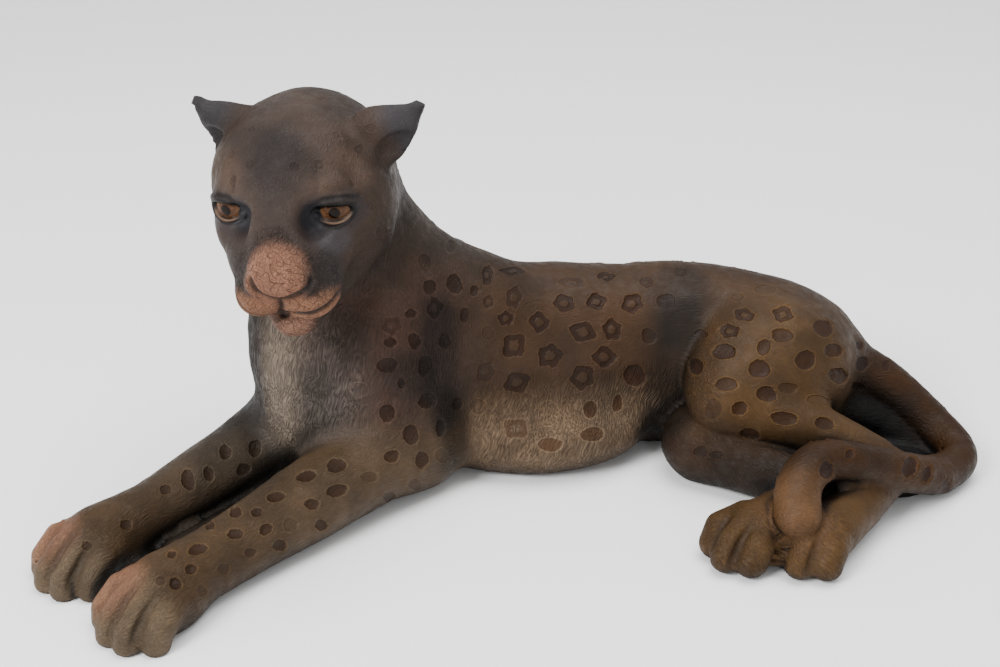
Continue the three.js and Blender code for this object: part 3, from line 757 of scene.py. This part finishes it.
def paint_body(points, normals, shares, hollow_shade, line):
    """The ground of the coat, one colour a point, with painted shade in the hollows between forms and on the
    undersides.
    """
    colour = np.zeros((len(points), 3))
    for part, share in shares.items():
        colour += share[:, None] * to_linear(GROUND_COLOURS[part])

    def lay(mask, paint):
        nonlocal colour
        mask = np.clip(mask, 0, 1)[:, None]
        colour = colour * (1 - mask) + mask * to_linear(paint)

    q = head.local(points)
    c = chest.local(points)
    on_head = shares["skull"]
    lay(shares["torso"] * smoothstep(-points[:, 2], -72, -34) * smoothstep(-points[:, 1], 0, 14) * 0.9, BELLY)
    lay(shares["chest"] * smoothstep(c[:, 0], 24, 52) * smoothstep(-c[:, 2], -170, -60) * 0.45, THROAT)
    strip = smoothstep(-np.abs(c[:, 1] - 6), -20, -5) * smoothstep(c[:, 0], 30, 56)
    lay(shares["chest"] * strip * smoothstep(-c[:, 2], -165, -110) * 0.7, BREAST)
    for side in SIDES:
        leg = foreleg_place(side).local(points)
        arm = shares["foreleg " + NAMES[side]]
        lay(arm * smoothstep(leg[:, 0], 60, 190), PAW)
        lay(arm * smoothstep(leg[:, 0], 186, 208), TOES)
        crest = length(paw_place(side).local(points) - (14, -14, 24))
        lay(arm * smoothstep(-crest, -26, -8) * 0.7, TOE_CREST)
    for foot in (left_foot, right_foot):
        away = length(foot.local(points) - (8, 0, 14))
        lay(smoothstep(-away, -46, -22) * (shares["left hindleg"] + shares["right hindleg"]), HIND_TOES)
    away = length(points - np.array(TAIL_ROUTE[-1][:3]))
    lay(shares["tail"] * smoothstep(-away, -40, -12), TAIL_TIP)
    brow = smoothstep(-np.hypot((q[:, 1] - 2) / 20, (q[:, 2] - 36) / 34), -1.1, -0.3)
    lay(on_head * brow * smoothstep(q[:, 0], 10, 30) * 0.7, BROW)
    lay(on_head * smoothstep(np.abs(q[:, 1] - 4), 24, 48) * smoothstep(q[:, 0], -10, 20) * 0.45, CHEEK)
    # Painted shade down each side of the nose bridge, from the eye's corner by the nose towards the whisker
    # pad
    for side in SIDES:
        _, gap = off_line(q, np.array((45, 20 * side + 2, 2)), np.array((66, 25 * side + 5, -18)))
        lay(on_head * smoothstep(-length(gap), -15, -6) * 0.8, NOSE_SIDE_SHADE)
    for centre, radii, paint, strength in MUZZLE_AREAS:
        share = length((q - centre) / radii)
        lay(on_head * smoothstep(-share, -1.25, -0.8) * strength, paint)
    lay(on_head * ear_share(points), EARS)
    rim = eye_rim(points)
    lay(on_head * smoothstep(-rim, -2.4, -1.3) * 0.75, LID_SHADE)
    lay(on_head * smoothstep(-rim, -1.3, -1.1), DARK_LINE_AND_CREASE_SHADE)
    lower = 0
    for side in SIDES:
        eye = eye_place(side)
        ahead, _, rise = eye.local(points).T
        lower = lower + smoothstep(-rise, 0.5, 3.5) * (ahead > 0) * (length(points - eye.origin) < 22)
    lay(on_head * lower * smoothstep(-rim, -0.97, -0.9) * smoothstep(rim, 0.78, 0.86) * 0.7, LOWER_LID)
    # Dark bands along the grooves: dark lines and painted shade in the creases
    lay(line * 0.9, DARK_LINE_AND_CREASE_SHADE)
    for side in SIDES:
        corner = length((q - (46, 19.5 * side + 1, 3)) / (12, 8, 11))
        lay(on_head * smoothstep(-corner, -1.1, -0.5) * 0.9, CORNER)
    # Painted shade: each pass darkens the colour near its line
    for start, end, radius, strength in PAINTED_SHADES:
        _, gap = off_line(points, np.array(start, float), np.array(end, float))
        colour *= 1 - strength * smoothstep(-length(gap), -radius * 1.3, -radius * 0.4)[:, None]
    # Painted shade: undersides low on the figure and points deep between forms are darkened; the lower lid's
    # slope next to the eye is spared
    underside_shade = smoothstep(-normals[:, 2], 0.1, 0.8) * smoothstep(-points[:, 2], -70, -20)
    hollow_shade = hollow_shade * (1 - 0.7 * smoothstep(-rim, -1.15, -0.95) * lower)
    return colour * (1 - 0.86 * smoothstep(hollow_shade, 0.3, 0.72))[:, None] * (1 - 0.55 * underside_shade)[:, None]


def ear_share(points):
    share = np.zeros(len(points))
    for side in SIDES:
        leaf = ear_place(side).local(points)
        share += smoothstep(leaf[:, 0], 6, 20) * (leaf[:, 0] < 60)
    return np.clip(share, 0, 1)


NAMES = {LEFT: "left", RIGHT: "right"}
BELLY = (96, 79, 61)
THROAT = (94, 91, 87)
BREAST = (118, 106, 92)
PAW = (52, 37, 20)
TOES = (81, 67, 50)
HIND_TOES = (61, 42, 19)
TAIL_TIP = (86, 60, 36)
BROW = (23, 17, 17)
CHEEK = (41, 28, 16)
EARS = (41, 38, 40)
NOSE_SIDE_SHADE = (40, 32, 29)
TOE_CREST = (120, 82, 61)
LOWER_LID = (104, 82, 66)
LID_SHADE = (38, 33, 34)
DARK_LINE_AND_CREASE_SHADE = (16, 12, 11)
CORNER = (26, 25, 30)
MUZZLE_AREAS = (
    ((22, 42, -16), (24, 17, 26), (42, 31, 24), 0.6),
    ((30, 38, 20), (22, 18, 14), (86, 66, 50), 0.2),
    ((30, -30, 20), (22, 16, 14), (86, 66, 50), 0.2),
    ((48, 30, -10), (14, 11, 8), (48, 48, 52), 0.5),
    # Painted shade in the hollow beside the nose, below the left eye
    ((58, 28, -24), (14, 10, 13), (38, 32, 30), 0.75),
    ((77, 6, -3), (11, 9, 8), (112, 84, 70), 0.25),
    ((81, 7.5, -15.5), (20, 16.5, 17), (126, 88, 69), 1.0),
    ((72, 21.5, -36), (20, 16, 11), (134, 95, 72), 1.0),
    ((72, -7.5, -36), (20, 16, 11), (134, 95, 72), 1.0),
    ((68, 6, -51), (19, 13.5, 11), (126, 92, 75), 1.0),
)
GROUND_COLOURS = {
    "torso": (47, 31, 17),
    "chest": (53, 37, 29),
    "nape": (42, 31, 23),
    "foreleg left": (63, 49, 34),
    "foreleg right": (54, 46, 37),
    # The two webs are painted nearly black: painted shade in the gaps they fill
    "foreleg web": (12, 10, 9),
    "tail web": (5, 4, 4),
    "left hindleg": (57, 39, 18),
    "right hindleg": (35, 21, 8),
    "tail": (39, 20, 1),
    "skull": (49, 38, 32),
}
parts = {
    "torso": torso(), "chest": chest_forms(), "nape": nape(), "foreleg web": foreleg_web(),
    "foreleg right": foreleg(RIGHT), "tail web": tail_web(), "right hindleg": right_hindleg(),
    "left hindleg": left_hindleg(), "foreleg left": foreleg(LEFT), "tail": tail(), "skull": skull(),
}
forms = list(parts.values())
panther = make_skin(forms)
skin = panther.data
points, normals = points_of(skin), vectors_of(skin, "normal")
shares = belonging(points, parts)
hollow_shade = hollowness(forms, points, normals)
spots = listed_spots()
far_side = (normals @ unit(np.array((0.0, 0.891, -0.454))) > 0.1) & (points[:, 2] > 10)
trunk = shares["torso"] + shares["chest"] + shares["nape"]
haunches = shares["left hindleg"] + shares["right hindleg"]
arms = shares["foreleg left"] + shares["foreleg right"]
for where, spacing, size, kinds, seed in (
    (trunk > 0.7, 25, 6.4, ("ring", "ring", "pit"), 3),
    ((haunches > 0.7) & (points[:, 1] > -92), 22, 5.4, ("pit",), 4),
    (arms > 0.7, 18, 3.6, ("pit",), 5),
    (shares["tail"] > 0.7, 20, 4.0, ("pit",), 6),
):
    spots += scatter_spots(points, normals, far_side & where, spots, spacing, size, kinds, 1.0, seed)
on_skull = head.local(points)
crown = (shares["skull"] > 0.8) & (ear_share(points) < 0.1) & (on_skull[:, 2] > -20) & (eye_rim(points) > 3)
crown &= (on_skull[:, 0] < 44) & (np.abs(on_skull[:, 1]) > 12)
spots += scatter_spots(points, normals, crown, spots, 13, 2.7, ("outline", "pit", "ring"), 0.35, 7)
outside, core, deep, painted = spot_fields(points, normals, spots)

relief = -SPOT_DEPTH * deep * painted * smoothstep(-outside, -0.8, 0.8)
relief += SPOT_DEPTH * deep * painted * smoothstep(core, -0.6, 1.2)
relief += SPOT_LIP * deep * np.exp(-((outside - 1.3) / 0.9) ** 2)
strands = np.abs(noise_at((points - chest.origin) @ np.diag((1 / 6.5, 1 / 6.5, 1 / 22.0)), 1.0))
fur = fur_strength(points, shares)
fur *= smoothstep(eye_rim(points), 1.5, 2.6)
relief += STRAND_DEPTH * (0.25 - strands) * smoothstep(fur, 0.55, 0.9) * (shares["chest"] + shares["torso"])
relief += 0.5 * noise_at(points, 24.0) + 0.25 * noise_at(points, 9.0, 5.0)
relief *= 1 - 0.7 * ear_share(points)
quiet = smoothstep(eye_rim(points), 1.6, 2.6) * smoothstep(points[:, 2], 1.5, 6)
cut, line = groove_fields(points, normals)
cut *= 1 - shares["tail"]
line *= 1 - shares["tail"]
fur *= 1 - line
set_points(skin, points + normals * (relief * quiet * (1 - line) - cut)[:, None])
settled = points_of(skin)
settled[:, 2] = np.maximum(settled[:, 2], SHIFT[2])
set_points(skin, settled)

fields = {
    "spot": outside, "core": core, "depth": deep, "painted": painted, "fur": fur,
    "fur_chest": shares["chest"] + shares["nape"] + shares["torso"] * smoothstep(-points[:, 2], -84, -70),
    "fur_haunch": haunches, "fur_arm": arms, "fur_head": shares["skull"],
}
for name, values in fields.items():
    layer = skin.attributes.new(name, "FLOAT", "POINT")
    layer.data.foreach_set("value", np.ascontiguousarray(values, dtype=np.float32))
colour = np.ones((len(points), 4))
colour[:, :3] = paint_body(points, normals, shares, hollow_shade, line)
layer = skin.color_attributes.new("paint", "FLOAT_COLOR", "POINT")
layer.data.foreach_set("color", colour.astype(np.float32).ravel())


# Materials
class Bench:
    """A node tree with short ways of adding to it."""

    def __init__(self, tree):
        self.tree = tree

    def add(self, kind, inputs=(), **settings):
        node = self.tree.nodes.new(kind)
        for key, value in settings.items():
            setattr(node, key, value)
        return self.feed(node, dict(inputs))

    def feed(self, node, inputs):
        for key, value in inputs.items():
            if isinstance(value, bpy.types.NodeSocket):
                self.tree.links.new(value, node.inputs[key])
            else:
                node.inputs[key].default_value = value
        return node

    def math(self, operation, a, b=0.0):
        return self.add("ShaderNodeMath", {0: a, 1: b}, operation=operation).outputs[0]

    def plus(self, a, b):
        return self.math("ADD", a, b)

    def minus(self, a, b):
        return self.math("SUBTRACT", a, b)

    def times(self, a, b):
        return self.math("MULTIPLY", a, b)

    def vector(self, operation, inputs):
        return self.add("ShaderNodeVectorMath", inputs, operation=operation).outputs[0]

    def attribute(self, name):
        return self.add("ShaderNodeAttribute", attribute_name=name).outputs["Fac"]

    def ramp(self, value, low, high, out_low=0.0, out_high=1.0):
        node = self.add("ShaderNodeMapRange", {
            "Value": value, "From Min": low, "From Max": high, "To Min": out_low, "To Max": out_high,
        }, interpolation_type="SMOOTHSTEP")
        return node.outputs["Result"]

    def mix(self, share, a, b, blend="MIX"):
        inputs = {0: share, 6: a, 7: b}
        return self.add("ShaderNodeMix", inputs, data_type="RGBA", blend_type=blend).outputs[2]

    def noise(self, vector, scale, detail=3.0):
        inputs = {"Vector": vector, "Scale": scale, "Detail": detail}
        return self.add("ShaderNodeTexNoise", inputs).outputs["Fac"]


def new_material(name):
    material = bpy.data.materials.new(name)
    material.use_nodes = True
    return material, Bench(material.node_tree), material.node_tree.nodes["Principled BSDF"]


def new_group(name, inputs, outputs):
    tree = bpy.data.node_groups.new(name, "ShaderNodeTree")
    for socket, kind in inputs:
        tree.interface.new_socket(socket, in_out="INPUT", socket_type=kind)
    for socket, kind in outputs:
        tree.interface.new_socket(socket, in_out="OUTPUT", socket_type=kind)
    bench = Bench(tree)
    return bench, bench.add("NodeGroupInput").outputs, bench.add("NodeGroupOutput").inputs


def carved_fur_group():
    """Tufts cut by a gouge, with finer hairs scratched along them."""
    bench, given, out = new_group(
        "carved fur", [("Vector", "NodeSocketVector")],
        [("Tufts", "NodeSocketFloat"), ("Hairs", "NodeSocketFloat")])
    cells = bench.add("ShaderNodeTexVoronoi", {"Vector": given["Vector"], "Scale": 1.0},
                      feature="DISTANCE_TO_EDGE")
    tufts = bench.ramp(cells.outputs["Distance"], 0.0, 0.38)
    finer = bench.vector("MULTIPLY", {0: given["Vector"], 1: (1.6, 3.4, 3.4)})
    bench.tree.links.new(tufts, out["Tufts"])
    bench.tree.links.new(bench.noise(finer, 1.0, 2.0), out["Hairs"])
    return bench.tree


# The way the fur lies on each part, with the tufts' width and length in millimetres
TRUNK_LAY = ((1.0, 0.0, -0.2), 2.8, 10.0)
FUR_LAY = {
    "fur_chest": ((-0.25, -0.15, -1.0), 2.3, 16.0),
    "fur_haunch": ((0.75, -0.25, -0.6), 2.6, 9.0),
    "fur_arm": (tuple(foreleg_place(LEFT).axes[0]), 2.4, 8.0),
    "fur_head": (tuple(-head.axes[0]), 1.8, 5.5),
}


def laid_along(bench, place, lay):
    """Coordinates whose first axis follows the fur, measured in tufts."""
    direction, width, length = lay
    along = unit(np.array(direction))
    side = unit(np.cross((0.0, 0.0, 1.0) if abs(along[2]) < 0.9 else (0.0, 1.0, 0.0), along))
    turn = Matrix((along, side, np.cross(along, side))).transposed().to_euler()
    return bench.add("ShaderNodeMapping", {
        "Vector": place, "Rotation": tuple(turn), "Scale": (length / 1000, width / 1000, width / 1000),
    }, vector_type="TEXTURE").outputs[0]


def coat_material():
    material, bench, shader = new_material("painted coat")
    place = bench.add("ShaderNodeTexCoord").outputs["Object"]
    bend = bench.add("ShaderNodeTexNoise", {"Vector": place, "Scale": 55.0, "Detail": 1.0})
    offset = bench.vector("SUBTRACT", {0: bend.outputs["Color"], 1: (0.5, 0.5, 0.5)})
    wavy = bench.vector("ADD", {0: place, 1: bench.vector("SCALE", {0: offset, "Scale": 0.01})})
    laid = laid_along(bench, wavy, TRUNK_LAY)
    for name, lay in FUR_LAY.items():
        jagged = bench.plus(bench.attribute(name), bench.times(bend.outputs["Fac"], 0.5))
        pick = bench.math("GREATER_THAN", jagged, 0.75)
        ways = {0: pick, 4: laid, 5: laid_along(bench, wavy, lay)}
        laid = bench.add("ShaderNodeMix", ways, data_type="VECTOR").outputs[1]
    carved = bench.add("ShaderNodeGroup", {"Vector": laid}, node_tree=carved_fur_group()).outputs
    tufts, hairs = carved["Tufts"], carved["Hairs"]
    fur = bench.attribute("fur")
    outside, core = bench.attribute("spot"), bench.attribute("core")
    depth, painted = bench.attribute("depth"), bench.attribute("painted")
    on_face = bench.attribute("fur_head")
    ragged = bench.times(bench.minus(bench.noise(place, 420.0, 2.0), 0.5), 1.8)
    edge = bench.plus(outside, ragged)
    pit = bench.ramp(edge, 0.3, -0.3)
    heart = bench.ramp(bench.plus(core, ragged), -0.3, 0.5)
    pit = bench.times(bench.times(pit, depth), bench.minus(1.0, heart))
    stain = bench.times(pit, painted)
    rim = bench.times(bench.ramp(edge, 0.15, 0.55), bench.ramp(edge, 1.5, 0.8))
    rim = bench.times(rim, depth)

    paint = bench.add("ShaderNodeAttribute", attribute_name="paint").outputs["Color"]
    cloudy = bench.ramp(bench.noise(place, 34.0, 3.0), 0.3, 0.7, 0.72, 1.25)
    cloud = bench.add("ShaderNodeCombineColor", {0: cloudy, 1: cloudy, 2: cloudy}).outputs[0]
    ground = bench.mix(1.0, paint, cloud, "MULTIPLY")
    pale = bench.mix(1.0, ground, (1.95, 1.95, 1.95, 1.0), "MULTIPLY")
    dark = bench.mix(1.0, ground, (0.3, 0.27, 0.27, 1.0), "MULTIPLY")
    stained = bench.mix(1.0, ground, (0.4, 0.25, 0.13, 1.0), "MULTIPLY")
    # Painted shade: the grooves between the carved tufts and between the scratched hairs are darkened
    grooves = bench.times(bench.minus(1.0, tufts), fur)
    ground = bench.mix(bench.times(grooves, 0.55), ground, dark)
    scratch = bench.times(bench.ramp(hairs, 0.46, 0.34), bench.times(fur, 0.75))
    ground = bench.mix(scratch, ground, dark)
    # Painted highlight: the raised hairs and the spots' raised rims are paled
    furry = bench.ramp(on_face, 0.4, 0.9, 0.4, 0.12)
    hair_highlight = bench.times(bench.ramp(hairs, 0.52, 0.68), bench.times(fur, furry))
    ground = bench.mix(hair_highlight, ground, pale)
    ground = bench.mix(bench.times(rim, 0.4), ground, pale)
    ground = bench.mix(bench.times(stain, 0.85), ground, stained)
    wander = bench.math("ABSOLUTE", bench.minus(bench.noise(place, 260.0, 0.0), 0.5))
    wrinkle = bench.times(bench.ramp(wander, 0.035, 0.008), bench.ramp(on_face, 0.5, 0.9))
    wrinkle = bench.times(wrinkle, bench.ramp(fur, 0.2, 0.9, 0.15, 0.8))
    ground = bench.mix(wrinkle, ground, dark)

    sheen = bench.ramp(bench.noise(place, 160.0, 2.0), 0.3, 0.7, 0.42, 0.6)
    rough = bench.plus(sheen, bench.times(grooves, 0.2))

    height = bench.times(tufts, bench.times(fur, 0.5))
    strand = bench.times(hairs, bench.plus(bench.times(fur, 1.5), 0.15))
    height = bench.plus(height, strand)
    height = bench.minus(height, bench.times(pit, 0.5))
    height = bench.plus(height, bench.times(rim, 0.25))
    height = bench.minus(height, bench.times(wrinkle, 0.6))
    height = bench.plus(height, bench.times(bench.noise(place, 900.0, 1.0), 0.12))
    bump = bench.add("ShaderNodeBump", {"Height": height, "Distance": 0.001, "Strength": 0.9})
    bench.feed(shader, {
        "Base Color": ground, "Roughness": rough, "Specular IOR Level": 0.16,
        "Normal": bump.outputs["Normal"],
    })
    return material


def iris_material():
    """Amber glass laid over a painted iris; the eye's own map runs from the pupil outwards."""
    material, bench, shader = new_material("amber eye")
    own = bench.add("ShaderNodeUVMap", uv_map="iris").outputs["UV"]
    parted = bench.add("ShaderNodeSeparateXYZ", {"Vector": own}).outputs
    around, out = parted["X"], parted["Y"]
    rays = bench.add("ShaderNodeCombineXYZ", {
        "X": bench.times(bench.math("COSINE", around), 5.0),
        "Y": bench.times(bench.math("SINE", around), 5.0),
        "Z": bench.times(out, 1.6),
    }).outputs[0]
    streaks = bench.noise(rays, 3.0, 4.0)
    colour = bench.mix(bench.ramp(out, 0.26, 0.7), (0.03, 0.012, 0.006, 1.0), (0.085, 0.04, 0.02, 1.0))
    colour = bench.mix(bench.ramp(streaks, 0.4, 0.65, 0.0, 0.5), colour, (0.13, 0.066, 0.032, 1.0))
    colour = bench.mix(bench.ramp(streaks, 0.5, 0.3, 0.0, 0.6), colour, (0.04, 0.012, 0.004, 1.0))
    colour = bench.mix(bench.ramp(out, 0.86, 1.05), colour, (0.03, 0.012, 0.007, 1.0))
    colour = bench.mix(bench.ramp(out, 0.31, 0.23), colour, (0.004, 0.002, 0.001, 1.0))
    bench.feed(shader, {
        "Base Color": colour, "Roughness": 0.22, "Specular IOR Level": 0.0,
        "Coat Weight": 0.5, "Coat IOR": 1.3, "Coat Roughness": 0.03,
    })
    return material


# The eyes
def make_eye(side, name):
    """A glass eye: a rounded front on a flat back, spun about the way it looks."""
    eye = bmesh.new()
    place = eye_place(side)
    outline = []
    steps = 20
    back = math.acos((EYE_RADIUS - EYE_THICKNESS) / EYE_RADIUS)
    for i in range(steps + 1):
        angle = back * i / steps
        outline.append(eye.verts.new((EYE_RADIUS * math.cos(angle), EYE_RADIUS * math.sin(angle), 0)))
    outline.append(eye.verts.new((EYE_RADIUS - EYE_THICKNESS, 0, 0)))
    edges = [eye.edges.new(pair) for pair in zip(outline, outline[1:])]
    bmesh.ops.spin(eye, geom=outline + edges, cent=(0, 0, 0), axis=(1, 0, 0), angle=math.tau, steps=64,
                   use_merge=True, use_duplicate=False)
    bmesh.ops.remove_doubles(eye, verts=eye.verts, dist=1e-4)
    bmesh.ops.recalc_face_normals(eye, faces=eye.faces)
    iris = eye.loops.layers.uv.new("iris")
    for face in eye.faces:
        middle = face.calc_center_median()
        turn = math.atan2(middle.z, middle.y)
        for loop in face.loops:
            x, y, z = loop.vert.co
            angle = math.atan2(z, y) if math.hypot(y, z) > 1e-6 else turn
            angle += math.tau * round((turn - angle) / math.tau)
            loop[iris].uv = (angle, math.acos(max(-1, min(1, x / EYE_RADIUS))))
    for vert in eye.verts:
        vert.co = Vector((place.at(vert.co) - SHIFT) / 1000)
    piece = new_piece(name, eye)
    piece.data.shade_smooth()
    piece.data.materials.append(amber)
    return piece


skin.materials.append(coat_material())
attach(panther, "root")
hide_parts("panther_body")
amber = iris_material()
for side, name in NAMES.items():
    eye = make_eye(side, "amber_" + name)
    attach(eye, "root")
    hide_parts(name + "_eye")


# The floor, the light and the camera
def lay_floor():
    floor = bmesh.new()
    bmesh.ops.create_grid(floor, x_segments=2, y_segments=2, size=6.0)
    piece = new_piece("floor", floor)
    pale, bench, shader = new_material("pale floor")
    bench.feed(shader, {"Base Color": (0.86, 0.86, 0.86, 1), "Roughness": 0.9})
    piece.data.materials.append(pale)


def hang_light(name, place, aim, size, power):
    light = bpy.data.lights.new(name, "AREA")
    light.shape = "DISK"
    light.size = size
    light.energy = power
    lamp = in_scene(name, light)
    lamp.location = place
    lamp.visible_camera = False
    lamp.rotation_euler = (Vector(aim) - Vector(place)).to_track_quat("-Z", "Y").to_euler()


lay_floor()
hang_light("window", (-1.2, -1.2, 1.5), (0, 0, 0.1), 0.9, 60.0)
hang_light("ceiling", (0.3, 0.1, 1.9), (0, 0, 0.1), 1.6, 44.0)
hang_light("glint_near", (0.38, -1.13, 0.32), (-0.1, -0.03, 0.21), 0.08, 1.6)
hang_light("glint_far", (-1.1, -0.58, 0.3), (-0.17, -0.02, 0.21), 0.08, 1.4)
world = bpy.data.worlds.new("studio")
world.use_nodes = True
world.node_tree.nodes["Background"].inputs["Color"].default_value = (1, 1, 1, 1)
world.node_tree.nodes["Background"].inputs["Strength"].default_value = 0.95
bpy.context.scene.world = world

lens = bpy.data.cameras.new("photographer")
lens.sensor_width = 36.0
lens.lens = 55.8
camera = in_scene("photographer", lens)
camera.location = (-0.01748, -0.82053, 0.54279)
camera.rotation_euler = (math.radians(63), 0, 0)
bpy.context.scene.camera = camera
